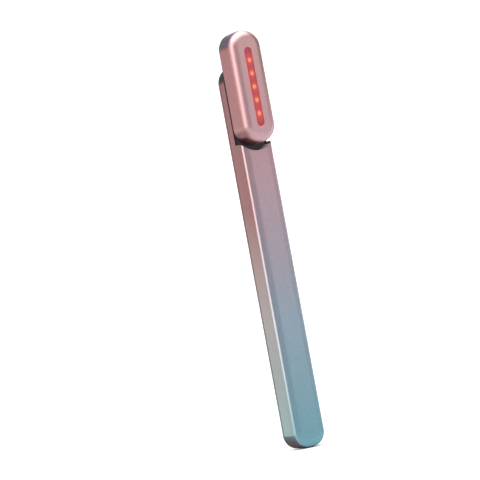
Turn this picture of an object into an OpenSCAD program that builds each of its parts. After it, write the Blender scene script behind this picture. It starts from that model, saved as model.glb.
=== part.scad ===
/* [Handle] */
// Width of the handle
handle_w = 14.6; // [13:0.1:16]
// Thickness of the handle, front face to back face
handle_t = 11.0; // [10.4:0.1:12.5]
// Radius along the front edges of the handle
handle_edge = 2.6; // [1.5:0.1:3.2]
// Radius along the back edges of the handle
cover_edge = 0.4; // [0.2:0.1:1.2]
// Height of the tongue's tip above the bottom end
tongue_top = 159; // [157:0.5:162]
// Thickness of the tongue behind the head
tongue_t = 5.4; // [5.2:0.1:5.8]
// Radius of the curved notch below the head
notch_r = 9.5; // [9:0.1:12]
// Height of the notch's lowest point
notch_z = 122.7; // [122.4:0.1:124]
// Radius of the two corners at the bottom end
corner_r = 6.2; // [5.5:0.1:7]
/* [Head] */
// Overall length of the wand, bottom end to head tip
total_l = 172; // [168:1:176]
// Length of the head
head_l = 46.6; // [45:0.1:48]
// Width of the head
head_w = 14.8; // [14.2:0.1:16]
// Thickness of the head
head_t = 11.2; // [10.8:0.1:12]
// How far the head stands in front of the handle's face
head_proud = 6.3; // [5.5:0.1:7]
// Radius along the front edge of the head
head_edge = 3.9; // [2.5:0.1:4.0]
// Radius along the back edge of the head
head_back_edge = 0.3; // [0.2:0.1:1]
// Width of the red lens
lens_w = 3.2; // [2.6:0.1:3.6]
// Length of the red lens
lens_l = 32.6; // [30:0.2:34]
// Distance from one light to the next
led_pitch = 5.5; // [5:0.05:6]
/* [Hinge] */
// Diameter of the hinge pin
pin_d = 2.0; // [1.6:0.1:2.2]
// Width of the head's knuckle
knuckle_w = 4.4; // [3.6:0.1:4.8]
// Radius of the knuckle's eye
knuckle_r = 2.5; // [2.2:0.05:2.6]
/* [Button] */
// Width of the power button
button_w = 4.6; // [4:0.1:5.4]
// Length of the power button
button_l = 8.6; // [7:0.1:10]
// Height of the power button's middle above the bottom end
button_z = 100; // [92:1:106]
/* [Hidden] */
$fn = 64;

R = handle_w/2;
Rh = head_w/2;
// depth runs along Y: the head's front is the lowest, the back cover the highest
depth = head_proud + handle_t;
y_head = -depth/2;
y_front = y_head + head_proud;
y_back = depth/2;
y_seam = y_back - 1.5;
seam_gap = 0.3;
y_hback = y_head + head_t;
y_tongue = y_back - tongue_t;
head_z0 = total_l - head_l;
notch_c = notch_z + notch_r;
wall = 1.2;
Ri = R - wall;
cav_top = notch_z - 1.3;
// hinge axis
piv_y = y_hback + 3.4;
piv_z = tongue_top - 3;
slot_w = 6.0;
lens_zc = (total_l + head_z0)/2 - 0.7;
usb_y = 3.0;
led_z0 = lens_zc - 2*led_pitch;
motor_y = -1.42;

// flat shape with round ends, from z0 to z1, drawn in x and z
module pill(r, z0, z1) {
  translate([0, z0 + r]) circle(r);
  translate([0, z1 - r]) circle(r);
  translate([-r, z0 + r]) square([2*r, z1 - z0 - 2*r]);
}
// puts a shape drawn in x and z between two depths
module deep(y0, y1) translate([0, y1, 0]) rotate([90, 0, 0]) linear_extrude(y1 - y0) children();
// straight-sided bar with round ends
module bar(r, z0, z1, y0, y1) deep(y0, y1) pill(r, z0, z1);
// half of a cross-section with its two outer corners rounded
module half_section(r, y0, y1, rf, rb) difference() {
  translate([0, y0]) square([r, y1 - y0]);
  if (rf > 0) difference() {
    translate([r - rf, y0 - 0.01]) square([rf + 0.01, rf + 0.01]);
    translate([r - rf, y0 + rf]) circle(rf);
  }
  if (rb > 0) difference() {
    translate([r - rb, y1 - rb]) square([rb + 0.01, rb + 0.01]);
    translate([r - rb, y1 - rb]) circle(rb);
  }
}
// bar with round ends and rounded front and back edges
module soft_bar(r, z0, z1, y0, y1, rf, rb) {
  translate([0, 0, z0 + r]) linear_extrude(z1 - z0 - 2*r) {
    half_section(r, y0, y1, rf, rb);
    mirror([1, 0]) half_section(r, y0, y1, rf, rb);
  }
  translate([0, 0, z0 + r]) rotate([-90, 0, 0]) rotate_extrude(angle = 180) half_section(r, y0, y1, rf, rb);
  translate([0, 0, z1 - r]) mirror([0, 0, 1]) rotate([-90, 0, 0]) rotate_extrude(angle = 180) half_section(r, y0, y1, rf, rb);
}
// the handle's outer shape: a bottom end with two corner arcs, and a half-round tip
module slab(y0, y1, rf, rb) {
  translate([0, 0, corner_r]) linear_extrude(tongue_top - R - corner_r) {
    half_section(R, y0, y1, rf, rb);
    mirror([1, 0]) half_section(R, y0, y1, rf, rb);
  }
  translate([0, 0, tongue_top - R]) mirror([0, 0, 1]) rotate([-90, 0, 0]) rotate_extrude(angle = 180) half_section(R, y0, y1, rf, rb);
  for (m = [0, 1]) mirror([m, 0, 0]) translate([R - corner_r, 0, corner_r]) rotate([-90, 0, 0])
    rotate_extrude(angle = 90) half_section(corner_r, y0, y1, rf, rb);
  translate([corner_r - R, 0, corner_r]) rotate([0, 90, 0]) linear_extrude(2*(R - corner_r)) half_section(corner_r, y0, y1, rf, rb);
}
// the same outline in x and z, drawn in by d
module slab_outline(d) {
  translate([0, tongue_top - R]) circle(R - d);
  translate([-(R - d), corner_r]) square([2*(R - d), tongue_top - R - corner_r]);
  for (s = [-1, 1]) translate([s*(R - corner_r), corner_r]) circle(corner_r - d);
  translate([corner_r - R, d]) square([2*(R - corner_r), corner_r]);
}
module box(x0, x1, y0, y1, z0, z1) translate([x0, y0, z0]) cube([x1 - x0, y1 - y0, z1 - z0]);
module rod_x(r, x0, x1, y, z) translate([x0, y, z]) rotate([0, 90, 0]) cylinder(r = r, h = x1 - x0);
module rod_y(r, x, y0, y1, z) translate([x, y1, z]) rotate([90, 0, 0]) cylinder(r = r, h = y1 - y0);
module rod_z(r, x, y, z0, z1) translate([x, y, z0]) cylinder(r = r, h = z1 - z0);
// everything in front of the tongue and above the notch
module recess_space(r, y0, y1, half_w = 12) deep(y0, y1) intersection() {
  union() {
    translate([0, notch_c]) circle(r);
    translate([-12, notch_c]) square([24, 60]);
  }
  translate([-half_w, 100]) square([2*half_w, 100]);
}
// room for the knuckle and its swing between the two ears
module knuckle_slot() box(-slot_w/2, slot_w/2, 0, y_back + 1, piv_z - 2.95, tongue_top + 1);
// rounds the ears' tips so the head's back can roll over them
module tip_round() difference() {
  box(-12, 12, y_tongue - 1, piv_y, piv_z, tongue_top + 1);
  rod_x(3.05, -13, 13, piv_y, piv_z);
}
module wire_channel() box(-5.4, -1.6, 4.4, y_seam + 0.2, cav_top - 3.5, piv_z - 2.9);
module stadium_hole(w, l, y0, y1, zc) bar(w/2, zc - l/2, zc + l/2, y0, y1);

// ---- handle ----
module handle_shell() color([0.62, 0.56, 0.62]) difference() {
  slab(y_front, y_seam, handle_edge, 0);
  recess_space(notch_r, y_front - 1, y_tongue);
  recess_space(notch_r + 0.6, y_front + 0.6, y_tongue, Ri);
  soft_bar(Ri, wall + 0.1, cav_top, y_front + 1.3, y_seam + 1, 1.6, 0);
  wire_channel();
  knuckle_slot();
  tip_round();
  rod_x(pin_d/2, -4.8, 9, piv_y, piv_z);
  rod_z(0.85, 0, piv_y, piv_z - 8.5, piv_z);
  // mouth of the charging socket in the bottom end
  translate([0, usb_y, -1]) linear_extrude(6) {
    translate([-2.85, 0]) circle(1.7);
    translate([2.85, 0]) circle(1.7);
    translate([-2.85, -1.7]) square([5.7, 3.4]);
  }
}
module back_cover() color([0.60, 0.56, 0.62]) difference() {
  union() {
    slab(y_seam + seam_gap, y_back, 0, cover_edge);
    difference() {
      bar(Ri - 0.05, wall + 0.15, cav_top - 0.05, y_seam - 0.8, y_seam + 0.5);
      bar(Ri - 0.85, wall + 0.95, cav_top - 0.85, y_seam - 1, y_seam + 0.1);
    }
  }
  knuckle_slot();
  stadium_hole(button_w + 0.2, button_l + 0.2, 5, y_back + 1, button_z);
  rod_y(0.62, 0, 5, y_back + 1, button_z + 12);
}
module cover_gasket() color([0.12, 0.12, 0.13]) difference() {
  deep(y_seam, y_seam + seam_gap) slab_outline(0.35);
  bar(Ri, wall + 0.1, cav_top, y_seam - 1, y_seam + 1);
  knuckle_slot();
  box(-5.4, -1.6, y_seam - 1, y_seam + 1, cav_top - 3.5, piv_z - 2.9);
}
module recess_liner() color([0.25, 0.24, 0.26]) difference() {
  deep(y_front + 0.62, y_tongue - 0.02) intersection() {
    difference() {
      translate([0, notch_c]) circle(notch_r + 0.58);
      translate([0, notch_c]) circle(notch_r);
    }
    translate([-Ri + 0.04, 100]) square([2*Ri - 0.08, 30]);
  }
}
module inner_tray() color([0.85, 0.85, 0.82]) difference() {
  union() {
    box(-4.2, 4.2, y_front + 1.32, y_front + 2.0, 15, 116.5);
    for (z = [16, 73.4]) box(-4.6, 4.6, y_front + 1.9, 1.4, z, z + 1.2);
    for (p = [[-3.4, 81], [3.4, 81], [-3.4, 108], [3.4, 108]]) rod_y(1.2, p[0], y_front + 1.9, 3.4, p[1]);
  }
  for (p = [[3.4, 81], [-3.4, 108]]) rod_y(0.45, p[0], 1, 3.5, p[1]);
}
module battery_cell() color([0.75, 0.76, 0.78]) {
  soft_box(-4.9, 4.9, 0.1, 5.6, 18.2, 72.2);
}
// block with its long edges rounded
module soft_box(x0, x1, y0, y1, z0, z1, r = 0.8) translate([0, 0, z0]) linear_extrude(z1 - z0) {
  translate([x0 + r, y0 + r]) circle(r);
  translate([x1 - r, y0 + r]) circle(r);
  translate([x0 + r, y1 - r]) circle(r);
  translate([x1 - r, y1 - r]) circle(r);
  translate([x0 + r, y0]) square([x1 - x0 - 2*r, y1 - y0]);
  translate([x0, y0 + r]) square([x1 - x0, y1 - y0 - 2*r]);
}
module battery_pads() color([0.2, 0.2, 0.22]) for (z = [24, 60])
  box(-3.6, 3.6, y_front + 2.02, 0.08, z, z + 6);
module battery_leads() {
  color("firebrick") rod_z(0.38, 2.4, 3.0, 72.22, 80);
  color([0.1, 0.1, 0.1]) rod_z(0.38, -2.4, 3.0, 72.22, 80);
}
module charge_leads() {
  color("firebrick") rod_z(0.38, 5.4, 1.74, 6, 79.5);
  color([0.1, 0.1, 0.1]) rod_z(0.38, -5.4, 1.74, 6, 79.5);
}
module main_board() color([0.10, 0.35, 0.20]) difference() {
  box(-5.0, 5.0, 3.4, 4.2, 78, 118);
  for (p = [[3.4, 81], [-3.4, 108]]) rod_y(0.65, p[0], 3, 5, p[1]);
}
module board_chips() color([0.14, 0.14, 0.15]) {
  box(-2, 2, 2.4, 3.4, 86, 90);
  box(-1.5, 1.5, 2.3, 3.4, 93, 96);
  box(-3.8, -1.8, 4.2, 5.2, 86, 89);
  box(1.2, 3.6, 4.2, 5.4, 88, 90.4);
  box(2.2, 3.2, 4.2, 4.8, 108, 110);
}
module board_screws() color([0.72, 0.72, 0.74]) for (p = [[3.4, 81], [-3.4, 108]]) difference() {
  union() {
    rod_y(1.15, p[0], 4.2, 4.9, p[1]);
    rod_y(0.44, p[0], 1.4, 4.3, p[1]);
  }
  box(p[0] - 0.7, p[0] + 0.7, 4.65, 5, p[1] - 0.15, p[1] + 0.15);
  box(p[0] - 0.15, p[0] + 0.15, 4.65, 5, p[1] - 0.7, p[1] + 0.7);
}
module flex_connector() color([0.88, 0.86, 0.80]) difference() {
  box(-5.0, -1.6, 4.2, 5.3, 112.5, 116);
  box(-4.82, -1.78, 4.58, 4.82, 113.5, 117);
}
module tact_switch() color([0.16, 0.16, 0.17]) difference() {
  box(-1.75, 1.75, 4.2, 5.5, button_z - 1.75, button_z + 1.75);
  rod_y(0.95, 0, 4.75, 6, button_z);
}
module status_led() color([0.9, 0.9, 0.85]) box(-0.8, 0.8, 4.2, 4.8, button_z + 11.4, button_z + 12.6);
module light_pipe() color([0.92, 0.92, 0.92]) union() {
  rod_y(0.6, 0, 4.85, y_back - 0.05, button_z + 12);
  rod_y(1.1, 0, y_seam - 0.6, y_seam + 0.08, button_z + 12);
}
module button_gasket() color([0.2, 0.2, 0.22]) difference() {
  bar(button_w/2 + 1.5, button_z - button_l/2 - 1.5, button_z + button_l/2 + 1.5, y_seam - 0.5, y_seam + 0.08);
  bar(button_w/2 + 0.85, button_z - button_l/2 - 0.85, button_z + button_l/2 + 0.85, y_seam - 1, y_seam + 1);
}
module usb_board() color([0.10, 0.35, 0.20]) intersection() {
  box(-4.8, 4.8, usb_y - 2.45, usb_y - 1.65, 2, 13.6);
  bar(Ri - 0.15, wall + 0.25, 40, -3, 9);
}
module usb_profile(w, h) {
  translate([-(w - h)/2, 0]) circle(h/2);
  translate([(w - h)/2, 0]) circle(h/2);
  translate([-(w - h)/2, -h/2]) square([w - h, h]);
}
module usb_socket() color([0.78, 0.78, 0.80]) translate([0, usb_y, 0]) difference() {
  translate([0, 0, 1.7]) linear_extrude(7.3) usb_profile(8.94, 3.26);
  translate([0, 0, 1]) linear_extrude(7.2) usb_profile(8.34, 2.56);
}
module usb_tongue() color([0.1, 0.1, 0.1]) box(-3.3, 3.3, usb_y - 0.35, usb_y + 0.35, 2.4, 8.18);
module tongue_flex() color([0.75, 0.45, 0.15]) box(-4.8, -1.8, 4.6, 4.8, 113.6, piv_z - 3.1);

// ---- hinge ----
module hinge_pin() color([0.75, 0.75, 0.77]) rod_x(pin_d/2 - 0.01, -4.75, 5.3, piv_y, piv_z);
module hinge_washers() color([0.65, 0.62, 0.55]) for (x = [-slot_w/2 + 0.02, slot_w/2 - 0.42]) difference() {
  rod_x(2.2, x, x + 0.4, piv_y, piv_z);
  rod_x(pin_d/2, x - 1, x + 1, piv_y, piv_z);
}
module detent_spring() color([0.7, 0.7, 0.72]) for (k = [0:5]) translate([0, piv_y, piv_z - 8.2 + k*0.72])
  rotate_extrude() translate([0.6, 0.2]) circle(0.18, $fn = 16);
module detent_ball() color([0.8, 0.8, 0.82]) translate([0, piv_y, piv_z - 3.45]) sphere(0.75, $fn = 32);

// ---- button ----
module power_button() color([0.58, 0.56, 0.62]) difference() {
  union() {
    bar(button_w/2, button_z - button_l/2, button_z + button_l/2, y_seam - 0.3, y_back - 0.05);
    bar(button_w/2 + 0.55, button_z - button_l/2 - 0.55, button_z + button_l/2 + 0.55, y_seam - 0.6, y_seam - 0.02);
    rod_y(0.9, 0, 5.97, y_seam - 0.5, button_z);
  }
  // shallow thumb dish
  translate([0, y_back + 14.75, button_z]) rotate([0, 90, 0]) cylinder(r = 15, h = 1.6, center = true);
}
module switch_plunger() color([0.9, 0.88, 0.82]) rod_y(0.75, 0, 5.25, 5.97, button_z);

// ---- head ----
module head_shell() color([0.75, 0.58, 0.60]) difference() {
  union() {
    difference() {
      soft_bar(Rh, head_z0, total_l, y_head, y_hback, head_edge, head_back_edge);
      soft_bar(Rh - wall, head_z0 + wall, total_l - wall, y_head + 1.3, y_hback + 1, 2.1, 0);
    }
    for (z = [head_z0 + 3.1, total_l - 3.1]) rod_y(1.3, 0, y_head + 1, y_hback - 1.52, z);
  }
  stadium_hole(lens_w, lens_l, y_head - 1, y_head + 2, lens_zc);
  for (z = [head_z0 + 3.1, total_l - 3.1]) rod_y(0.45, 0, y_hback - 6, y_hback, z);
}
module head_back() color([0.30, 0.29, 0.31]) difference() {
  union() {
    bar(Rh - wall - 0.05, head_z0 + wall + 0.05, total_l - wall - 0.05, y_hback - 1.5, y_hback);
    rod_x(knuckle_r, -knuckle_w/2, knuckle_w/2, piv_y, piv_z);
    box(-knuckle_w/2, knuckle_w/2, y_hback - 0.5, piv_y, piv_z - 2.2, piv_z + 2.2);
  }
  rod_x(pin_d/2 + 0.03, -4, 4, piv_y, piv_z);
  // two shallow dimples where the ball clicks in
  translate([0, piv_y, piv_z - 3.35]) sphere(1.0, $fn = 32);
  translate([0, piv_y + 3.35, piv_z]) sphere(1.0, $fn = 32);
  for (z = [head_z0 + 3.1, total_l - 3.1]) {
    rod_y(0.65, 0, y_hback - 2, y_hback + 1, z);
    rod_y(1.3, 0, y_hback - 0.75, y_hback + 1, z);
  }
  box(-5.0, -2.35, y_hback - 2, y_hback + 1, piv_z - 5.2, piv_z - 4.6);
}
module head_screws() color([0.72, 0.72, 0.74]) for (z = [head_z0 + 3.1, total_l - 3.1]) difference() {
  union() {
    rod_y(1.2, 0, y_hback - 0.74, y_hback - 0.08, z);
    rod_y(0.44, 0, y_hback - 5, y_hback - 0.5, z);
  }
  box(-0.8, 0.8, y_hback - 0.4, y_hback + 1, z - 0.16, z + 0.16);
  box(-0.16, 0.16, y_hback - 0.4, y_hback + 1, z - 0.8, z + 0.8);
}
module red_lens() color([0.80, 0.25, 0.25]) union() {
  bar(lens_w/2 - 0.03, lens_zc - lens_l/2 + 0.03, lens_zc + lens_l/2 - 0.03, y_head + 0.12, y_head + 1.5);
  bar(lens_w/2 + 0.7, lens_zc - lens_l/2 - 0.7, lens_zc + lens_l/2 + 0.7, y_head + 1.32, y_head + 1.9);
}
module led_reflector() color([0.93, 0.93, 0.90]) difference() {
  bar(lens_w/2 + 0.7, lens_zc - lens_l/2 - 0.7, lens_zc + lens_l/2 + 0.7, y_head + 1.92, y_head + 3.33);
  bar(lens_w/2 + 0.05, lens_zc - lens_l/2, lens_zc + lens_l/2, y_head, y_head + 5);
}
module led_board() color([0.92, 0.92, 0.90]) box(-3.2, 3.2, y_head + 3.35, y_head + 4.15, lens_zc - 18, lens_zc + 18);
module led_chips() color([1.0, 0.6, 0.45]) for (k = [-2:2])
  box(-1.1, 1.1, y_head + 2.25, y_head + 3.35, lens_zc + k*led_pitch - 0.9, lens_zc + k*led_pitch + 0.9);
module heater_film() color([0.80, 0.50, 0.20]) difference() {
  bar(4.0, lens_zc - 18.1, lens_zc + 18.1, y_head + 1.31, y_head + 1.55);
  bar(lens_w/2 + 0.78, lens_zc - lens_l/2 - 0.78, lens_zc + lens_l/2 + 0.78, y_head, y_head + 5);
}
module heat_sensor() color([0.15, 0.15, 0.15]) box(2.6, 3.6, y_head + 1.57, y_head + 2.2, lens_zc + 4, lens_zc + 6);
module foam_pad() color([0.35, 0.35, 0.38]) box(-2.3, 2.3, y_head + 4.17, motor_y - 2.48, head_z0 + 7, head_z0 + 34);
module motor_case() color([0.80, 0.80, 0.82]) difference() {
  rod_z(2.0, 0, motor_y, head_z0 + 8, head_z0 + 16);
  rod_z(0.45, 0, motor_y, head_z0 + 14, head_z0 + 17);
}
module motor_sleeve() color([0.15, 0.15, 0.16]) difference() {
  rod_z(2.47, 0, motor_y, head_z0 + 8.6, head_z0 + 15);
  rod_z(2.0, 0, motor_y, head_z0 + 8, head_z0 + 17);
}
module head_flex() color([0.75, 0.45, 0.15]) union() {
  box(-4.9, -2.45, y_head + 4.17, y_head + 4.37, lens_zc - 6, piv_z - 4.8);
  box(-4.9, -2.45, y_head + 4.17, y_hback, piv_z - 5.0, piv_z - 4.8);
}
module motor_weight() color([0.62, 0.55, 0.35]) union() {
  rod_z(0.40, 0, motor_y, head_z0 + 14.2, head_z0 + 20);
  translate([0, 0, head_z0 + 16.5]) linear_extrude(3.2) difference() {
    translate([0, motor_y]) circle(1.9);
    translate([-2, motor_y + 0.55]) square([4, 3]);
  }
}

handle_shell();
back_cover();
cover_gasket();
recess_liner();
inner_tray();
battery_cell();
battery_pads();
battery_leads();
charge_leads();
main_board();
board_chips();
board_screws();
flex_connector();
tact_switch();
status_led();
light_pipe();
button_gasket();
usb_board();
usb_socket();
usb_tongue();
tongue_flex();
hinge_pin();
hinge_washers();
detent_spring();
detent_ball();
power_button();
switch_plunger();
head_shell();
head_back();
head_screws();
red_lens();
led_reflector();
led_board();
led_chips();
heater_film();
heat_sensor();
foam_pad();
motor_case();
motor_sleeve();
head_flex();
motor_weight();
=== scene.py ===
import math
import bpy, bmesh
from mathutils import Vector, Matrix

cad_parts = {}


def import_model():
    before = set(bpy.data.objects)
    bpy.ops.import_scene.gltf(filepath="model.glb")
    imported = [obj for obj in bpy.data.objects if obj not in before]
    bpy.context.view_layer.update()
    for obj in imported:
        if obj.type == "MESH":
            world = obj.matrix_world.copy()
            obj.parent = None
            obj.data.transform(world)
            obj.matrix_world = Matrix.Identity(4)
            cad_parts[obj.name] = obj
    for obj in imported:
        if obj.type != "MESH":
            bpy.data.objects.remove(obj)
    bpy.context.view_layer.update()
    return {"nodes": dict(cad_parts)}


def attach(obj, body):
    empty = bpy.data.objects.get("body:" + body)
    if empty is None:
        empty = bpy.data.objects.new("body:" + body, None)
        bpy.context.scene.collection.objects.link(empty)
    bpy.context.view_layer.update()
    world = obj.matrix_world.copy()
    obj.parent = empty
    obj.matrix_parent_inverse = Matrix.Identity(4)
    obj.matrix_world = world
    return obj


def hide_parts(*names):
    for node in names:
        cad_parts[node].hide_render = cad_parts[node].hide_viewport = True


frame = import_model()
nodes = frame["nodes"]
scene = bpy.context.scene
MM = 0.001

# ---------------------------------------------------------------- sizes (mm)
R, RH = 7.3, 7.4                     # half widths of the handle and the head
Y_HEAD, Y_FRONT, Y_BACK = -8.65, -2.35, 8.65
Y_SEAM = 7.15
Y_HBACK, Y_TONGUE = 2.55, 3.25
HEAD_Z0, TOP = 125.4, 172.0
TONGUE_TOP = 159.0
NOTCH_R, NOTCH_C = 9.5, 132.2
CORNER_R = 6.2                       # corner arcs of the flattened bottom end
PIV_Y, PIV_Z = 5.95, 156.0
LENS_ZC = 148.0
PITCH = 5.5
BUTTON_Z = 100.0
USB_Y = 3.0

# ---------------------------------------------------------------- camera
F_PX = 2325.0
CAM_AZ, CAM_EL, CAM_ROLL, CAM_D = -28.4, -1.5, -10.45, 0.9463
AIM_PX = (275.09, 238.58)              # where the aim point lands in a 480 x 480 picture
AIM = Vector((0.0, -0.00235, 0.086))


def make_camera():
    a, e, r = (math.radians(v) for v in (CAM_AZ, CAM_EL, CAM_ROLL))
    back = Vector((math.sin(a) * math.cos(e), -math.cos(a) * math.cos(e), math.sin(e)))
    right = Vector((math.cos(a), math.sin(a), 0.0))
    up = back.cross(right)
    right2 = right * math.cos(r) + up * math.sin(r)
    up2 = -right * math.sin(r) + up * math.cos(r)
    # turn the camera a little so that the aim point lands off the middle
    dx, dy = (AIM_PX[0] - 240.0) / F_PX, (240.0 - AIM_PX[1]) / F_PX
    fwd = (-back - right2 * dx - up2 * dy).normalized()
    rr = (right2 - fwd * right2.dot(fwd)).normalized()
    uu = rr.cross(fwd)
    m = Matrix((rr, uu, -fwd)).transposed().to_4x4()
    data = bpy.data.cameras.new("camera")
    data.sensor_width = 36.0
    data.lens = F_PX / 480.0 * 36.0
    data.clip_start, data.clip_end = 0.02, 20.0
    cam = bpy.data.objects.new("camera", data)
    m.translation = AIM + back * CAM_D
    cam.matrix_world = m
    scene.collection.objects.link(cam)
    scene.camera = cam


make_camera()

# ---------------------------------------------------------------- node helpers


class Tree:
    """Small helper that builds a material's nodes."""

    def __init__(self, name):
        self.mat = bpy.data.materials.new(name)
        self.mat.use_nodes = True
        self.t = self.mat.node_tree
        self.t.nodes.clear()
        self.out = self.t.nodes.new("ShaderNodeOutputMaterial")

    def node(self, kind, **props):
        n = self.t.nodes.new(kind)
        for k, v in props.items():
            setattr(n, k, v)
        return n

    def link(self, a, b):
        self.t.links.new(a, b)

    def math(self, op, a, b=None, clamp=False):
        n = self.node("ShaderNodeMath", operation=op, use_clamp=clamp)
        for i, v in enumerate((a, b)):
            if v is None:
                continue
            if isinstance(v, (int, float)):
                n.inputs[i].default_value = v
            else:
                self.link(v, n.inputs[i])
        return n.outputs[0]

    def ramp(self, fac, stops, interp="LINEAR"):
        n = self.node("ShaderNodeValToRGB")
        n.color_ramp.interpolation = interp
        e = n.color_ramp.elements
        while len(e) > 1:
            e.remove(e[-1])
        e[0].position, e[0].color = stops[0][0], (*stops[0][1], 1)
        for p, c in stops[1:]:
            x = e.new(p)
            x.color = (*c, 1)
        self.link(fac, n.inputs[0])
        return n.outputs[0]

    def maprange(self, v, a, b, c=0.0, d=1.0, smooth=False):
        n = self.node("ShaderNodeMapRange")
        n.interpolation_type = "SMOOTHSTEP" if smooth else "LINEAR"
        n.clamp = True
        self.link(v, n.inputs[0])
        for i, x in enumerate((a, b, c, d)):
            n.inputs[i + 1].default_value = x
        return n.outputs[0]

    def mix(self, fac, a, b, mode="MIX"):
        n = self.node("ShaderNodeMix", data_type="RGBA", blend_type=mode)
        for sock, v in ((n.inputs[0], fac), (n.inputs[6], a), (n.inputs[7], b)):
            if isinstance(v, (int, float)):
                sock.default_value = v
            elif isinstance(v, tuple):
                sock.default_value = (*v, 1)
            else:
                self.link(v, sock)
        return n.outputs[2]

    def noise(self, vec, scale, detail=2.0, rough=0.5):
        n = self.node("ShaderNodeTexNoise")
        n.inputs["Scale"].default_value = scale
        n.inputs["Detail"].default_value = detail
        n.inputs["Roughness"].default_value = rough
        self.link(vec, n.inputs["Vector"])
        return n.outputs["Fac"]

    def bump(self, height, strength, dist):
        n = self.node("ShaderNodeBump")
        n.inputs["Strength"].default_value = strength
        n.inputs["Distance"].default_value = dist
        self.link(height, n.inputs["Height"])
        return n.outputs[0]

    def principled(self, **kw):
        n = self.node("ShaderNodeBsdfPrincipled")
        for k, v in kw.items():
            s = n.inputs[k.replace("_", " ")]
            if isinstance(v, tuple):
                s.default_value = (*v, 1) if len(v) == 3 and s.type == "RGBA" else v
            elif isinstance(v, (int, float)):
                s.default_value = v
            else:
                self.link(v, s)
        self.link(n.outputs[0], self.out.inputs[0])
        return n


def lin(r, g, b):
    """sRGB 0-255 to linear."""
    def f(c):
        c /= 255.0
        return c / 12.92 if c <= 0.04045 else ((c + 0.055) / 1.055) ** 2.4
    return (f(r), f(g), f(b))


# ---------------------------------------------------------------- materials
# heights in metres of the colour stops along the wand; the side stops also carry painted light and shade: the sides are
# lighter than the front low down and darker higher up
FRONT_STOPS = [(0.000, (100, 147, 159)), (0.050, (147, 166, 181)), (0.118, (193, 158, 167)), (0.172, (202, 158, 158))]
SIDE_COLOUR_AND_LIGHT_STOPS = [(0.000, (125, 160, 161)), (0.050, (182, 175, 174)), (0.072, (187, 163, 161)), (0.100, (179, 126, 124)), (0.172, (191, 134, 133))]
# painted highlight and shade on the rounds between the front and the sides, as colour factors up the wand
EDGE_LIGHT_STOPS = [(0.000, (0.98, 0.97, 1.00)), (0.068, (0.82, 0.95, 1.02)), (0.100, (1.05, 1.45, 1.50))]
# painted highlight and shade on the head, by how far the surface turns to the side
HEAD_TURN_LIGHT = [(0.00, (1.00, 1.01, 1.00)), (0.17, (1.06, 1.05, 1.05)), (0.34, (1.04, 1.03, 1.04)), (0.50, (1.04, 1.05, 1.05)),
             (0.66, (0.91, 1.00, 1.00)), (0.80, (0.71, 0.89, 0.91)), (0.92, (0.88, 1.02, 1.02)), (1.00, (1.20, 1.20, 1.20))]


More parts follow.
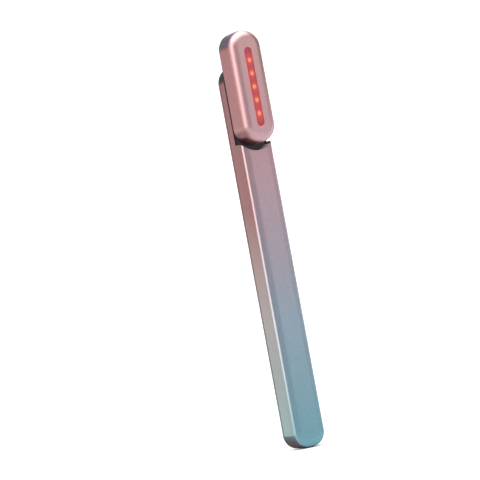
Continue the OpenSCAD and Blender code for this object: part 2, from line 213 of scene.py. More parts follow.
def pearl(name, head=False, back=False, end=False):
    """Satin pearl lacquer on metal: the colour runs up the wand, with a fine sparkle, and painted light and shade on
    the sides, rounds and end walls.
    """
    t = Tree(name)
    tc = t.node("ShaderNodeTexCoord")
    sep = t.node("ShaderNodeSeparateXYZ")
    t.link(tc.outputs["Object"], sep.inputs[0])
    # the colour's height wanders a little, as sprayed paint does
    wander = t.noise(tc.outputs["Object"], 30.0, 1.0)
    z = t.math("ADD", sep.outputs[2], t.math("MULTIPLY", t.math("SUBTRACT", wander, 0.5), 0.006))
    fac = t.math("DIVIDE", z, 0.172, clamp=True)
    front = t.ramp(fac, [(p / 0.172, lin(*c)) for p, c in FRONT_STOPS])
    side = t.ramp(fac, [(p / 0.172, lin(*c)) for p, c in SIDE_COLOUR_AND_LIGHT_STOPS])
    nrm = t.node("ShaderNodeSeparateXYZ")
    t.link(tc.outputs["Normal"], nrm.inputs[0])
    ax = t.math("ABSOLUTE", nrm.outputs[0])
    # the sides take their own colour run, with painted light and shade in it
    col = t.mix(t.maprange(ax, 0.25, 0.95, smooth=True), front, side)
    # painted highlight and shade on the rounds
    edge_light_w = t.math("MULTIPLY", t.maprange(ax, 0.32, 0.55, smooth=True), t.maprange(ax, 0.97, 0.80, smooth=True))
    edge = t.ramp(fac, [(p / 0.172, tuple(0.5 * v for v in c)) for p, c in EDGE_LIGHT_STOPS])
    if head:
        # painted light and shade on the head's rounds and sides
        edge, edge_light_w = t.ramp(ax, [(p, tuple(0.5 * v for v in c)) for p, c in HEAD_TURN_LIGHT]), 1.0
    col = t.mix(edge_light_w, col, t.mix(1.0, t.mix(1.0, col, edge, "MULTIPLY"), (2.0, 2.0, 2.0), "MULTIPLY"))
    if back:
        # painted shade: the back plate's sides and rounds are darkened, more towards the bottom
        rim = t.math("SUBTRACT", 1.0, t.math("MULTIPLY", t.maprange(ax, 0.3, 0.6), t.maprange(sep.outputs[2], 0.070, 0.110, 0.30, 0.14)))
        rc = t.node("ShaderNodeCombineColor")
        for i in range(3):
            t.link(rim, rc.inputs[i])
        col = t.mix(1.0, col, rc.outputs[0], "MULTIPLY")
    # painted shade and reflection on the end walls: down-facing walls turn near black low down and dark red higher up,
    # up-facing ones purple-grey on the head and grey-green on the tongue tip
    az = t.math("ABSOLUTE", nrm.outputs[2])
    ay = t.math("ABSOLUTE", nrm.outputs[1])
    up = t.maprange(nrm.outputs[2], -0.02, 0.02)
    low0, low1 = (0.12, 0.42) if head else (0.02, 0.17)
    above = t.maprange(sep.outputs[2], 0.135, 0.142)
    start = t.math("ADD", t.math("MULTIPLY", t.math("MULTIPLY", up, above), t.maprange(az, 0.04, 0.30, smooth=True)),
                   t.math("MULTIPLY", t.math("SUBTRACT", 1.0, up), t.maprange(az, low0, low1, smooth=True)))
    end_shade_m = t.math("MULTIPLY", start, t.maprange(ay, 0.65, 0.15, smooth=True))
    end_shade_tint = t.mix(up, t.mix(t.maprange(sep.outputs[2], 0.02, 0.11), lin(32, 27, 31), lin(130, 69, 74)), lin(163, 147, 172) if head else lin(84, 92, 92))
    col = t.mix(t.math("MULTIPLY", end_shade_m, 0.88), col, end_shade_tint)
    if head:
        # painted highlight: the upper end of the front round is whiter
        top = t.math("MULTIPLY", t.maprange(nrm.outputs[2], 0.20, 0.60, smooth=True), t.maprange(nrm.outputs[1], -0.3, -0.6))
        col = t.mix(t.math("MULTIPLY", top, 0.50), col, lin(236, 228, 226))
        # painted shade: a touch darker towards the right and on the lower round
        shade = t.math("MULTIPLY", t.maprange(sep.outputs[0], -4 * MM, 4 * MM, 1.10, 1.08),
                       t.math("MULTIPLY", t.maprange(nrm.outputs[0], 0.05, 0.45, 1.0, 0.86), t.maprange(nrm.outputs[2], -0.06, -0.36, 1.0, 0.72)))
        sc = t.node("ShaderNodeCombineColor")
        for i in range(3):
            t.link(shade, sc.inputs[i])
        col = t.mix(1.0, col, sc.outputs[0], "MULTIPLY")
    if end:
        # painted shade and reflection on the bottom end wall: bluish where it starts, brown lower down
        col = t.ramp(az, [(0.0, lin(104, 122, 126)), (0.5, lin(102, 96, 102)), (1.0, lin(140, 138, 142))])
    # sparkle: tiny flakes, each a little lighter or darker
    vor = t.node("ShaderNodeTexVoronoi", feature="F1")
    vor.inputs["Scale"].default_value = 5200.0
    t.link(tc.outputs["Object"], vor.inputs["Vector"])
    fl = t.node("ShaderNodeSeparateColor")
    t.link(vor.outputs["Color"], fl.inputs[0])
    flake = t.math("ADD", 0.90, t.math("MULTIPLY", fl.outputs[0], 0.2))
    cc = t.node("ShaderNodeCombineColor")
    for i in range(3):
        t.link(flake, cc.inputs[i])
    col = t.mix(1.0, col, cc.outputs[0], "MULTIPLY")
    col = t.mix(1.0, col, (0.80, 0.80, 0.80), "MULTIPLY")
    if head:
        # painted glow: a blush of red light painted round the lens
        x = sep.outputs[0]
        dz = t.math("SUBTRACT", t.math("ABSOLUTE", t.math("SUBTRACT", sep.outputs[2], LENS_ZC * MM)), 14.7 * MM)
        dz = t.math("MAXIMUM", dz, 0.0)
        dist = t.math("SQRT", t.math("ADD", t.math("MULTIPLY", x, x), t.math("MULTIPLY", dz, dz)))
        painted_glow = t.maprange(dist, 1.6 * MM, 2.7 * MM, 1.0, 0.0, smooth=True)
        frontm = t.maprange(nrm.outputs[1], -0.9, -0.99, 0.0, 1.0)
        painted_glow = t.math("MULTIPLY", painted_glow, frontm)
        col = t.mix(t.math("MULTIPLY", painted_glow, 0.35), col, lin(225, 110, 118))
    rough = t.math("ADD", 0.30, t.math("MULTIPLY", fl.outputs[1], 0.10))
    grain = t.noise(tc.outputs["Object"], 9000.0, 1.0)
    soft = t.noise(tc.outputs["Object"], 900.0, 2.0)
    h = t.math("ADD", grain, t.math("MULTIPLY", soft, 0.6))
    bmp = t.bump(h, 0.10, 0.00002)
    p = t.principled(Base_Color=col, Metallic=0.88, Roughness=rough, Normal=bmp, Coat_Weight=0.0 if end else 0.25, Coat_Roughness=0.22)
    if end:
        # painted shade: the end wall's reflections are darkened
        p.inputs["Specular Tint"].default_value = (0.30, 0.24, 0.27, 1.0)
    if head:
        # painted glow: the metal round the lens gives off faint red light
        t.link(t.mix(painted_glow, (0, 0, 0), lin(200, 60, 70)), p.inputs["Emission Color"])
        p.inputs["Emission Strength"].default_value = 0.10
    return t.mat


def plastic(name, rgb, rough=0.5, grain=1500.0, amount=0.12, bump=0.15, metallic=0.0, vary=0.12, coat=0.0):
    """Moulded or plain part: fine grain, slight mottling of colour and gloss."""
    t = Tree(name)
    tc = t.node("ShaderNodeTexCoord")
    n1 = t.noise(tc.outputs["Object"], grain, 3.0)
    n2 = t.noise(tc.outputs["Object"], grain / 12.0, 2.0)
    base = lin(*rgb)
    dark = tuple(c * (1 - vary) for c in base)
    light = tuple(min(1.0, c * (1 + vary)) for c in base)
    col = t.mix(n2, dark, light)
    r = t.math("ADD", rough - amount / 2, t.math("MULTIPLY", n1, amount))
    t.principled(Base_Color=col, Metallic=metallic, Roughness=r, Normal=t.bump(n1, bump, 0.00003), Coat_Weight=coat)
    return t.mat


def brushed(name, rgb, axis=0, rough=0.28):
    """Turned or drawn metal: fine lines along one axis."""
    t = Tree(name)
    tc = t.node("ShaderNodeTexCoord")
    mp = t.node("ShaderNodeMapping")
    sc = [6000.0, 6000.0, 6000.0]
    sc[axis] = 300.0
    mp.inputs["Scale"].default_value = sc
    t.link(tc.outputs["Object"], mp.inputs[0])
    n = t.noise(mp.outputs[0], 1.0, 3.0)
    base = lin(*rgb)
    col = t.mix(n, tuple(c * 0.82 for c in base), base)
    r = t.math("ADD", rough - 0.06, t.math("MULTIPLY", n, 0.12))
    t.principled(Base_Color=col, Metallic=1.0, Roughness=r, Normal=t.bump(n, 0.12, 0.00002))
    return t.mat


def lens_material():
    """Red translucent lens lit by five lights behind it."""
    t = Tree("lens_red")
    tc = t.node("ShaderNodeTexCoord")
    sep = t.node("ShaderNodeSeparateXYZ")
    t.link(tc.outputs["Object"], sep.inputs[0])
    x, z = sep.outputs[0], sep.outputs[2]
    # nearest light along the row
    k = t.math("DIVIDE", t.math("SUBTRACT", z, LENS_ZC * MM), PITCH * MM)
    k = t.math("ROUND", k)
    k = t.math("MAXIMUM", t.math("MINIMUM", k, 2.0), -2.0)
    dz = t.math("SUBTRACT", z, t.math("ADD", LENS_ZC * MM, t.math("MULTIPLY", k, PITCH * MM)))
    d = t.math("SQRT", t.math("ADD", t.math("MULTIPLY", x, x), t.math("MULTIPLY", t.math("MULTIPLY", dz, dz), 0.75)))
    core = t.maprange(d, 0.0, 1.25 * MM, 1.0, 0.0, smooth=True)
    halo = t.maprange(d, 0.0, 3.0 * MM, 1.0, 0.0, smooth=True)
    grain = t.noise(tc.outputs["Object"], 2500.0, 2.0)
    wide = t.maprange(d, 2.3 * MM, 3.6 * MM, 1.0, 0.0, smooth=True)
    col = t.ramp(halo, [(0.0, lin(172, 66, 76)), (0.45, lin(196, 74, 62)), (1.0, lin(226, 100, 66))])
    col = t.mix(core, col, lin(255, 158, 108))
    stren = t.math("ADD", t.math("ADD", 0.17, t.math("MULTIPLY", wide, 0.17)), t.math("ADD", t.math("MULTIPLY", halo, 0.12), t.math("MULTIPLY", core, 0.62)))
    stren = t.math("MULTIPLY", stren, t.math("ADD", 0.94, t.math("MULTIPLY", grain, 0.12)))
    p = t.principled(Base_Color=t.mix(grain, lin(122, 32, 40), lin(138, 40, 48)), Roughness=0.32,
                     Normal=t.bump(grain, 0.08, 0.00003), Coat_Weight=0.3, Coat_Roughness=0.15)
    t.link(col, p.inputs["Emission Color"])
    t.link(stren, p.inputs["Emission Strength"])
    return t.mat


def lit_material(name, rgb, strength):
    t = Tree(name)
    tc = t.node("ShaderNodeTexCoord")
    n = t.noise(tc.outputs["Object"], 1500.0, 2.0)
    p = t.principled(Base_Color=t.mix(n, tuple(c * 0.9 for c in lin(*rgb)), lin(*rgb)), Roughness=0.35)
    t.link(t.mix(n, tuple(c * 0.9 for c in lin(*rgb)), lin(*rgb)), p.inputs["Emission Color"])
    p.inputs["Emission Strength"].default_value = strength
    return t.mat


M = {
    "pearl": pearl("pearl_lacquer"),
    "pearl_head": pearl("pearl_lacquer_head", head=True),
    "pearl_back_painted_shade": pearl("pearl_lacquer_back_painted_shade", back=True),
    "pearl_end_painted_shade": pearl("pearl_lacquer_end_painted_shade", end=True),
    "dark": plastic("dark_trim", (62, 58, 62), 0.42, 2200.0),
    "liner": plastic("notch_liner", (206, 192, 190), 0.55, 2200.0),
    "gap_shadow": plastic("painted_shadow", (36, 18, 22), 0.6, 2200.0),
    "rubber": plastic("black_silicone", (30, 30, 32), 0.6, 1800.0),
    "foam": plastic("grey_foam", (70, 70, 74), 0.9, 2600.0, bump=0.6, vary=0.25),
    "offwhite": plastic("off_white_plastic", (222, 220, 208), 0.45, 1500.0),
    "white": plastic("white_plastic", (236, 236, 230), 0.4, 1500.0),
    "nylon": plastic("natural_nylon", (228, 222, 200), 0.42, 1500.0),
    "board": plastic("green_board", (28, 92, 56), 0.35, 900.0, vary=0.25, coat=0.3),
    "chip": plastic("black_component", (34, 34, 36), 0.4, 3000.0),
    "flex": plastic("amber_film", (206, 138, 52), 0.3, 800.0, vary=0.2, coat=0.4),
    "wire": plastic("wire_insulation", (150, 34, 30), 0.42, 1500.0),
    "clear": plastic("clear_pipe", (226, 232, 236), 0.12, 600.0, amount=0.04, bump=0.02, vary=0.03, coat=0.6),
    "steel": brushed("plain_steel", (196, 196, 200)),
    "socket": brushed("nickel_plate", (205, 205, 208), axis=2, rough=0.22),
    "can": brushed("battery_can", (190, 194, 200), axis=2, rough=0.34),
    "brass": brushed("plain_brass", (196, 168, 112)),
    "ball": brushed("polished_steel", (222, 222, 226), rough=0.14),
    "lens": lens_material(),
    "led": lit_material("lit_led", (255, 140, 90), 4.0),
}

# ---------------------------------------------------------------- mesh helpers


def outline(zlo, zhi, r, n=40, ns=1, sx=1.0):
    """Points of a bar with round ends, anticlockwise seen from the front; zlo and zhi are the centres of its ends."""
    pts = []
    for i in range(n + 1):
        a = math.pi * i / n
        pts.append((r * math.cos(a) * sx, zhi + r * math.sin(a)))
    for j in range(1, ns):
        pts.append((-r * sx, zhi + (zlo - zhi) * j / ns))
    for i in range(n + 1):
        a = math.pi + math.pi * i / n
        pts.append((r * math.cos(a) * sx, zlo + r * math.sin(a)))
    for j in range(1, ns):
        pts.append((r * sx, zlo + (zhi - zlo) * j / ns))
    return pts


def slab_outline(zhi, r, n=48, ns=1):
    """The handle's outline: half-round tip, and a bottom end with two corner arcs and a short straight between them."""
    rad, cx = CORNER_R - (R - r), R - CORNER_R
    pts = []
    for i in range(n + 1):
        a = math.pi * i / n
        pts.append((r * math.cos(a), zhi + r * math.sin(a)))
    for j in range(1, ns):
        pts.append((-r, zhi + (CORNER_R - zhi) * j / ns))
    k = n // 2
    for c, a0 in ((-cx, math.pi), (cx, 1.5 * math.pi)):
        for i in range(k + 1):
            a = a0 + 0.5 * math.pi * i / k
            pts.append((c + rad * math.cos(a), CORNER_R + rad * math.sin(a)))
    for j in range(1, ns):
        pts.append((r, CORNER_R + (zhi - CORNER_R) * j / ns))
    return pts


def loft(name, rings, closed=False, cap=True, n=40, ns=1, slab=False):
    """rings is a list of (zlo, zhi, r, y). Joins them into one mesh; closed joins the last ring to the first."""
    bm = bmesh.new()
    loops = []
    for zlo, zhi, r, y in rings:
        line = slab_outline(zhi, r, n, ns) if slab else outline(zlo, zhi, r, n, ns)
        loops.append([bm.verts.new((x * MM, y * MM, z * MM)) for x, z in line])
    pairs = list(zip(loops, loops[1:])) + ([(loops[-1], loops[0])] if closed else [])
    for a, b in pairs:
        m = len(a)
        for i in range(m):
            j = (i + 1) % m
            bm.faces.new((a[i], a[j], b[j], b[i]))
    if cap and not closed:
        bm.faces.new(loops[0][::-1])
        bm.faces.new(loops[-1])
    bmesh.ops.recalc_face_normals(bm, faces=bm.faces)
    me = bpy.data.meshes.new(name)
    bm.to_mesh(me)
    bm.free()
    o = bpy.data.objects.new(name, me)
    scene.collection.objects.link(o)
    return o


def arc(cr, cy, rad_r, rad_y, a0, a1, n):
    """Points (r, y) round an elliptical corner; angle 0 points outwards, 90 to the back, -90 to the front."""
    out = []
    for i in range(n + 1):
        a = math.radians(a0 + (a1 - a0) * i / n)
        out.append((cr + rad_r * math.cos(a), cy + rad_y * math.sin(a)))
    return out


def soft_edge(half, front, r1, r0, turn, n0=5, n1=12):
    """Front edge of a bar: a shallow crown of radius r0 that turns by some degrees, then a round of radius r1."""
    t = math.radians(turn)
    cx = half - r1                      # centre of the tight round
    x1, y1 = cx + r1 * math.sin(t), -r1 * math.cos(t)
    c0x, c0y = x1 - r0 * math.sin(t), y1 + r0 * math.cos(t)
    top = c0y - r0
    pts = [(c0x - 0.8, top)]
    for i in range(n0 + 1):
        a = t * i / n0
        pts.append((c0x + r0 * math.sin(a), c0y - r0 * math.cos(a)))
    for i in range(1, n1 + 1):
        a = t + (math.pi / 2 - t) * i / n1
        pts.append((cx + r1 * math.sin(a), -r1 * math.cos(a)))
    return [(x, y - top + front) for x, y in pts]


def run_edge(half, front, runs):
    """Front edge of a bar, from the flat face outwards: each run turns by some degrees along its own length."""
    x = y = ang = 0.0
    pts = [(-0.8, 0.0), (0.0, 0.0)]
    for turn, length in runs:
        n = max(1, int(round(turn / 5.0)))
        for i in range(n):
            mid = math.radians(ang + turn * (i + 0.5) / n)
            x += math.cos(mid) * length / n
            y += math.sin(mid) * length / n
            pts.append((x, y))
        ang += turn
    return [(px + half - x, py + front) for px, py in pts]


def smooth(o, angle=32.0, weighted=True):
    for p in o.data.polygons:
        p.use_smooth = True
    o.data.set_sharp_from_angle(angle=math.radians(angle))
    if weighted:
        m = o.modifiers.new("weighted", "WEIGHTED_NORMAL")
        m.keep_sharp = True
        m.weight = 80
    return o


def give(o, mat):
    o.data.materials.clear()
    o.data.materials.append(M[mat])
    return o


def dispose(o):
    me = o.data
    bpy.data.objects.remove(o)
    if me.users == 0:
        bpy.data.meshes.remove(me)


def bake(o):
    """Applies the modifiers of a made piece."""
    dg = bpy.context.evaluated_depsgraph_get()
    me = bpy.data.meshes.new_from_object(o.evaluated_get(dg))
    old = o.data
    o.modifiers.clear()
    o.data = me
    bpy.data.meshes.remove(old)
    return o


def cut(o, cutters, op="DIFFERENCE"):
    for c in cutters:
        m = o.modifiers.new("cut", "BOOLEAN")
        m.operation = op
        m.solver = "EXACT"
        m.object = c
        bake(o)
        dispose(c)
    return o


def mesh_object(name, verts, faces):
    me = bpy.data.meshes.new(name)
    me.from_pydata([tuple(c * MM for c in v) for v in verts], [], faces)
    me.update()
    bm = bmesh.new()
    bm.from_mesh(me)
    bmesh.ops.recalc_face_normals(bm, faces=bm.faces)
    bm.to_mesh(me)
    bm.free()
    o = bpy.data.objects.new(name, me)
    scene.collection.objects.link(o)
    return o


def block(name, x0, x1, y0, y1, z0, z1):
    v = [(x, y, z) for x in (x0, x1) for y in (y0, y1) for z in (z0, z1)]
    f = [(0, 1, 3, 2), (4, 6, 7, 5), (0, 4, 5, 1), (2, 3, 7, 6), (0, 2, 6, 4), (1, 5, 7, 3)]
    return mesh_object(name, v, f)


def prism(name, pts, lo, hi, axis):
    """Extrudes a closed outline of 2D points along an axis: 'x' takes (y, z), 'y' takes (x, z), 'z' takes (x, y)."""
    def place(p, d):
        return {"x": (d, p[0], p[1]), "y": (p[0], d, p[1]), "z": (p[0], p[1], d)}[axis]
    n = len(pts)
    v = [place(p, lo) for p in pts] + [place(p, hi) for p in pts]
    f = [tuple(range(n))[::-1], tuple(range(n, 2 * n))]
    f += [(i, (i + 1) % n, n + (i + 1) % n, n + i) for i in range(n)]
    return mesh_object(name, v, f)


def circle(cx, cy, r, n=48, a0=0.0, a1=360.0):
    full = abs(a1 - a0) >= 360.0
    m = n if full else n + 1
    return [(cx + r * math.cos(math.radians(a0 + (a1 - a0) * i / n)), cy + r * math.sin(math.radians(a0 + (a1 - a0) * i / n)))
            for i in range(m)]


def bevel(o, width, segments=2, angle=40.0):
    m = o.modifiers.new("bevel", "BEVEL")
    m.width = width * MM
    m.segments = segments
    m.limit_method = "ANGLE"
    m.angle_limit = math.radians(angle)
    m.use_clamp_overlap = True
    m.harden_normals = False
    return o


# ---------------------------------------------------------------- handle shell
# a quick turn, a nearly straight slope, a tight round and a slow crown into the side
HANDLE_EDGE = [(11.0, 0.95), (5.0, 1.50), (63.0, math.radians(63.0) * 1.5), (10.0, 2.3)]


def handle_shell():
    z_lo, z_hi = R, TONGUE_TOP - R
    rings = [(z_lo, z_hi, r, y) for r, y in
             run_edge(R, Y_FRONT, HANDLE_EDGE) + [(R, 3.0), (R, Y_SEAM - 0.04), (R - 0.04, Y_SEAM)]]
    o = loft("handle_skin", rings, n=48, ns=24, slab=True)
    # room above the notch and in front of the tongue
    n = 64
    half = math.sqrt(NOTCH_R ** 2 - 9.0 ** 2)
    a0 = math.degrees(math.atan2(-half, 9.0))
    pts = circle(0, NOTCH_C, NOTCH_R, n, 180 - a0, 360 + a0)
    pts += [(9.0, 170.0), (-9.0, 170.0)]
    space = prism("space", pts, Y_FRONT - 2, Y_TONGUE, "y")
    # groove for the liner, behind the lip
    ri = 6.1
    g = NOTCH_R + 0.6
    a = math.degrees(math.acos(ri / g))
    pts = circle(0, NOTCH_C, g, 48, 180 + a, 360 - a) + [(ri, 135.0), (-ri, 135.0)]
    groove = prism("groove", pts, Y_FRONT + 0.6, Y_TONGUE, "y")
    cav = loft("cav", [(1.3 + ri, 121.4 - ri, r, y) for r, y in
                       arc(ri - 1.6, Y_FRONT + 1.3 + 1.6, 1.6, 1.6, -90, 0, 6) + [(ri, 9.0)]], n=24, ns=4)
    channel = block("channel", -5.4, -1.6, 4.4, 9.0, 117.9, 153.1)
    slot = block("slot", -3.0, 3.0, 0.0, 10.0, PIV_Z - 2.95, 161.0)
    tip = prism("tip", [(Y_TONGUE - 1.5, PIV_Z)] + [(PIV_Y - 3.05, PIV_Z)]
                + circle(PIV_Y, PIV_Z, 3.05, 24, 180, 90)[1:] + [(PIV_Y, 161.0), (Y_TONGUE - 1.5, 161.0)], -9, 9, "x")
    pin = prism("pinhole", circle(PIV_Y, PIV_Z, 1.0, 32), -4.8, 9.0, "x")
    ball = prism("ballhole", circle(0, PIV_Y, 0.85, 24), PIV_Z - 8.5, PIV_Z, "z")
    usb = prism("usbhole", circle(2.85, USB_Y, 1.7, 24, -90, 90) + circle(-2.85, USB_Y, 1.7, 24, 90, 270), -1.0, 5.0, "z")
    cut(o, [space, groove, cav, channel, slot, tip, pin, ball, usb])
    bevel(o, 0.30, 3, 38)
    bake(o)
    smooth(o, 30)
    give(o, "pearl")
    # the inside has no lacquer. Painted shade: the face that the head shuts against is dark, and near black higher up,
    # as the shadow in the recess and the gap
    o.data.materials.append(M["dark"])
    o.data.materials.append(M["gap_shadow"])
    o.data.materials.append(M["pearl_end_painted_shade"])
    for p in o.data.polygons:
        c = p.center / MM
        # painted shade: the bottom end wall takes the darkened end lacquer
        if c.z < 6.2 and p.normal.z < -0.05 and abs(p.normal.y) < 0.5:
            p.material_index = 3
            continue
        facing = p.normal.y < -0.9 and abs(c.y - Y_TONGUE) < 0.05 and c.z > 119
        inside = abs(c.x) < 6.3 and 1.2 < c.z < 121.6 and c.y > Y_FRONT + 1.0 and abs(c.x) > 0 and p.normal.y > -0.5
        if facing or (inside and c.y < Y_SEAM - 0.05 and not (c.z < 1.35)):
            p.material_index = 2 if facing and c.z > 134 else 1
    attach(o, "handle")
    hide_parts("handle_shell")
    return o


handle = handle_shell()


# ---------------------------------------------------------------- back cover
def back_cover():
    z_lo, z_hi = R, TONGUE_TOP - R
    rb = 0.4
    y0 = Y_SEAM + 0.30
    rings = [(z_lo, z_hi, r, y) for r, y in
             [(R - 1.4, y0), (R - 0.04, y0), (R, y0 + 0.04)]
             + arc(R - rb, Y_BACK - rb, rb, rb, 0, 90, 8) + [(R - rb - 0.9, Y_BACK)]]
    o = loft("back_cover_skin", rings, n=48, ns=24, slab=True)
    ri = 6.05
    rim = loft("rim", [(1.35 + ri, 121.35 - ri, ri, Y_SEAM - 0.8), (1.35 + ri, 121.35 - ri, ri, Y_SEAM + 0.5)], n=32, ns=4)
    inner = loft("inner", [(1.35 + ri, 121.35 - ri, ri - 0.8, Y_SEAM - 1.0), (1.35 + ri, 121.35 - ri, ri - 0.8, Y_SEAM + 0.1)],
                 n=32, ns=4)
    cut(o, [rim], "UNION")
    slot = block("slot", -3.0, 3.0, 0.0, 10.0, PIV_Z - 2.95, 161.0)
    bl = loft("bhole", [(BUTTON_Z - 2.0, BUTTON_Z + 2.0, 2.4, 5.0), (BUTTON_Z - 2.0, BUTTON_Z + 2.0, 2.4, 10.0)], n=24)
    lp = prism("lp", circle(0, BUTTON_Z + 12, 0.62, 24), 5.0, 10.0, "y")
    cut(o, [inner, slot, bl, lp])
    bevel(o, 0.05, 2, 38)
    bake(o)
    smooth(o, 30)
    give(o, "pearl_back_painted_shade")
    o.data.materials.append(M["dark"])
    o.data.materials.append(M["pearl_end_painted_shade"])
    for p in o.data.polygons:
        if p.center.y < (y0 + 0.02) * MM:
            p.material_index = 1
        # painted shade: the bottom end wall takes the darkened end lacquer
        elif p.center.z < 6.2 * MM and p.normal.z < -0.05 and abs(p.normal.y) < 0.5:
            p.material_index = 2
    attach(o, "handle")
    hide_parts("back_cover")
    return o


back = back_cover()


# ---------------------------------------------------------------- head shell
def head_shell():
    z_lo, z_hi = HEAD_Z0 + RH, TOP - RH
    rb, wall = 0.3, 1.2
    hs, hr = 14.7, 1.6                       # slot: half distance of its centres, half width
    s_lo, s_hi = LENS_ZC - hs, LENS_ZC + hs
    rings = []
    # slot wall and its softened rim
    rings += [(s_lo, s_hi, hr, Y_HEAD + 1.3), (s_lo, s_hi, hr, Y_HEAD + 0.10)]
    for r, y in arc(hr + 0.10, Y_HEAD + 0.10, 0.10, 0.10, 180, 270, 3)[1:]:
        rings.append((s_lo, s_hi, r, y))
    rings.append((s_lo, s_hi, hr + 0.4, Y_HEAD))
    rings += [(z_lo, z_hi, r, y) for r, y in soft_edge(RH, Y_HEAD, 3.65, 6.5, 4.0, 4, 16)]
    rings.append((z_lo, z_hi, RH, Y_HBACK - rb - 1.5))
    rings.append((z_lo, z_hi, RH, Y_HBACK - 0.55))
    for r, y in arc(RH - rb, Y_HBACK - rb, rb, rb, 0, 90, 6):
        rings.append((z_lo, z_hi, r, y))
    ri = RH - wall
    rings.append((z_lo, z_hi, ri + 0.08, Y_HBACK))
    rings.append((z_lo, z_hi, ri, Y_HBACK - 0.08))
    rings.append((z_lo, z_hi, ri, Y_HEAD + 1.3 + 2.1))
    for r, y in arc(ri - 2.1, Y_HEAD + 1.3 + 2.1, 2.1, 2.1, 0, -90, 6)[1:]:
        rings.append((z_lo, z_hi, r, y))
    o = loft("head_skin", rings, closed=True, n=48, ns=12)
    smooth(o, 34)
    give(o, "pearl_head")
    o.data.materials.append(M["gap_shadow"])
    # painted shadow: the band at the head's back is near black, so the gap to the tongue reads dark and wide
    for p in o.data.polygons:
        if p.center.y > (Y_HBACK - 0.54) * MM:
            p.material_index = 1
    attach(o, "head")
    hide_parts("head_shell")
    return o


head = head_shell()


# ---------------------------------------------------------------- lens
def red_lens():
    hs = 14.7
    lo, hi = LENS_ZC - hs, LENS_ZC + hs
    r = 1.57
    y = Y_HEAD + 0.10
    rings = [(lo, hi, 0.5, y - 0.02), (lo, hi, 1.0, y)]
    rings += [(lo, hi, a, b) for a, b in arc(r - 0.25, y + 0.25, 0.25, 0.25, -90, 0, 5)]
    rings += [(lo, hi, r, Y_HEAD + 1.32), (lo, hi, 2.3, Y_HEAD + 1.32), (lo, hi, 2.3, Y_HEAD + 1.9)]
    o = loft("lens_skin", rings, n=32, ns=16)
    smooth(o, 34)
    give(o, "lens")
    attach(o, "head")
    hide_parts("red_lens")
    return o


lens = red_lens()

# ---------------------------------------------------------------- CAD pieces that stay
KEEP = {
    "cover_gasket": "rubber", "recess_liner": "liner", "inner_tray": "offwhite", "battery_cell": "can", "battery_pads": "foam",
    "battery_leads": "wire", "charge_leads": "wire", "main_board": "board", "board_chips": "chip", "board_screws": "steel",
    "flex_connector": "nylon", "tact_switch": "chip", "status_led": "white", "light_pipe": "clear", "button_gasket": "rubber",
    "usb_board": "board", "usb_socket": "socket", "usb_tongue": "chip", "tongue_flex": "flex", "hinge_pin": "steel",
    "hinge_washers": "brass", "detent_spring": "steel", "detent_ball": "ball", "power_button": "pearl", "switch_plunger": "nylon",
    "head_back": "dark", "head_screws": "steel", "led_reflector": "white", "led_board": "white", "led_chips": "led",
    "heater_film": "flex", "heat_sensor": "chip", "foam_pad": "foam", "motor_case": "socket", "motor_sleeve": "rubber",
    "head_flex": "flex", "motor_weight": "brass",
}
for name, mat in KEEP.items():
    o = nodes[name]
    o.data.materials.clear()
    o.data.materials.append(M[mat])

# ---------------------------------------------------------------- floor, light


def floor():
    bm = bmesh.new()
    n = 96
    c = bm.verts.new((0, 0, -0.0002))
    prev = None
    for rad in (0.03, 0.08, 0.16, 0.28, 0.4):
        ring = [bm.verts.new((rad * math.cos(2 * math.pi * i / n), rad * math.sin(2 * math.pi * i / n), -0.0002)) for i in range(n)]
        for i in range(n):
            j = (i + 1) % n
            if prev is None:
                bm.faces.new((c, ring[i], ring[j]))
            else:
                bm.faces.new((prev[i], ring[i], ring[j], prev[j]))
        prev = ring
    me = bpy.data.meshes.new("floor")
    bm.to_mesh(me)
    bm.free()
    o = bpy.data.objects.new("floor", me)
    scene.collection.objects.link(o)
    t = Tree("pale_floor")
    tc = t.node("ShaderNodeTexCoord")
    nz = t.noise(tc.outputs["Object"], 40.0, 3.0)
    t.principled(Base_Color=t.mix(nz, (0.93, 0.93, 0.93), (0.95, 0.95, 0.95)), Roughness=0.8, Specular_IOR_Level=0.1)
    o.data.materials.append(t.mat)
    return o


floor()

# brightness of the studio by direction: azimuth 0 is in front of the wand, negative to its left
STUDIO = [(-180, 0.95), (-150, 0.95), (-121, 0.92), (-102, 1.10), (-90, 3.10), (-78, 4.50), (-64, 4.20), (-52, 1.70), (-40, 0.52),
          (-26, 0.22), (-8, 0.20), (6, 0.33), (18, 0.83), (30, 1.10), (44, 0.90), (60, 0.34), (96, 0.36), (112, 1.00), (130, 1.90),
          (150, 1.60), (180, 0.95)]


CEILING = (5, 66, 26, 46, 2.6)       # azimuth, elevation, inner and outer angle, brightness


def direction(az, el):
    a, e = math.radians(az), math.radians(el)
    return Vector((math.sin(a) * math.cos(e), -math.cos(a) * math.cos(e), math.sin(e)))


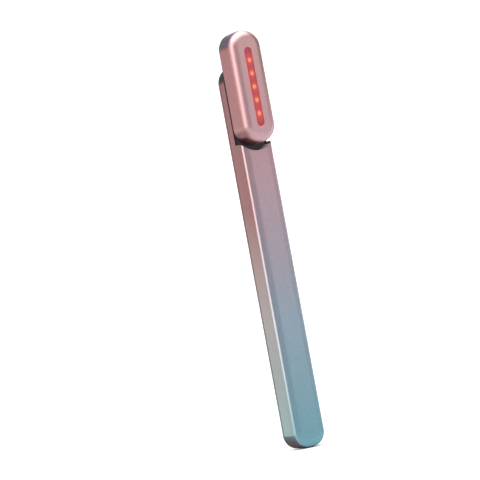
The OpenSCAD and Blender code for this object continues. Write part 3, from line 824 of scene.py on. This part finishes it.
def world():
    w = bpy.data.worlds.new("studio")
    scene.world = w
    w.use_nodes = True
    t = Tree.__new__(Tree)
    t.t = w.node_tree
    t.t.nodes.clear()
    out = t.node("ShaderNodeOutputWorld")
    tc = t.node("ShaderNodeTexCoord")
    sep = t.node("ShaderNodeSeparateXYZ")
    t.link(tc.outputs["Generated"], sep.inputs[0])
    x, y, z = sep.outputs
    az = t.math("ARCTAN2", x, t.math("MULTIPLY", y, -1.0))
    fac = t.math("ADD", t.math("DIVIDE", az, 2 * math.pi), 0.5)
    around = t.ramp(fac, [((d + 180) / 360.0, (v / 5.0,) * 3) for d, v in STUDIO])
    around = t.math("MULTIPLY", around, 5.0)
    # the far wall behind the wand is bright near the horizon and dim above it
    behind = t.math("MULTIPLY", t.maprange(y, 0.35, 0.70, smooth=True), t.maprange(x, 0.37, 0.18, smooth=True))
    high = t.maprange(z, 0.05, 0.16, smooth=True)
    dim = t.math("SUBTRACT", 1.0, t.math("MULTIPLY", t.math("MULTIPLY", behind, high), 0.85))
    # a wide soft box overhead, towards the front
    cd = direction(CEILING[0], CEILING[1])
    dot = t.math("ADD", t.math("ADD", t.math("MULTIPLY", x, cd.x), t.math("MULTIPLY", y, cd.y)), t.math("MULTIPLY", z, cd.z))
    ceil = t.maprange(dot, math.cos(math.radians(CEILING[3])), math.cos(math.radians(CEILING[2])), smooth=True)
    # level ground past the floor's edge
    ground = t.maprange(z, -0.06, -0.14, smooth=True)
    around = t.mix(ground, around, (1.08, 1.08, 1.08))
    around = t.mix(t.math("MULTIPLY", ceil, 1.0), around, (CEILING[4],) * 3)
    bg = t.node("ShaderNodeBackground")
    t.link(around, bg.inputs[0])
    t.link(dim, bg.inputs[1])
    t.link(bg.outputs[0], out.inputs[0])


world()


def sun(name, az, el, strength, angle, color=(1, 1, 1)):
    d = bpy.data.lights.new(name, "SUN")
    d.energy = strength
    d.angle = math.radians(angle)
    d.color = color
    o = bpy.data.objects.new(name, d)
    a, e = math.radians(az), math.radians(el)
    v = Vector((math.sin(a) * math.cos(e), -math.cos(a) * math.cos(e), math.sin(e)))
    o.rotation_mode = "QUATERNION"
    o.rotation_quaternion = (-v).to_track_quat("-Z", "Y")
    o.location = v
    scene.collection.objects.link(o)
    return o


def area(name, az, dist, z0, z1, width, power, color=(1, 1, 1)):
    """An upright soft box that faces the wand, its foot at z0 and its top at z1."""
    d = bpy.data.lights.new(name, "AREA")
    d.shape = "RECTANGLE"
    d.size = width
    d.size_y = z1 - z0
    d.energy = power
    d.color = color
    o = bpy.data.objects.new(name, d)
    a = math.radians(az)
    v = Vector((math.sin(a), -math.cos(a), 0.0))
    o.location = v * dist + Vector((0, 0, (z0 + z1) / 2))
    o.rotation_mode = "QUATERNION"
    o.rotation_quaternion = (-v).to_track_quat("-Z", "Z")
    o.visible_camera = False
    scene.collection.objects.link(o)
    return o


sun("high_light", -48, 56, 0.5, 45)
area("low_right", 82, 0.22, 0.0, 0.105, 0.22, 0.09)

scene.view_settings.view_transform = "Standard"
scene.view_settings.look = "None"
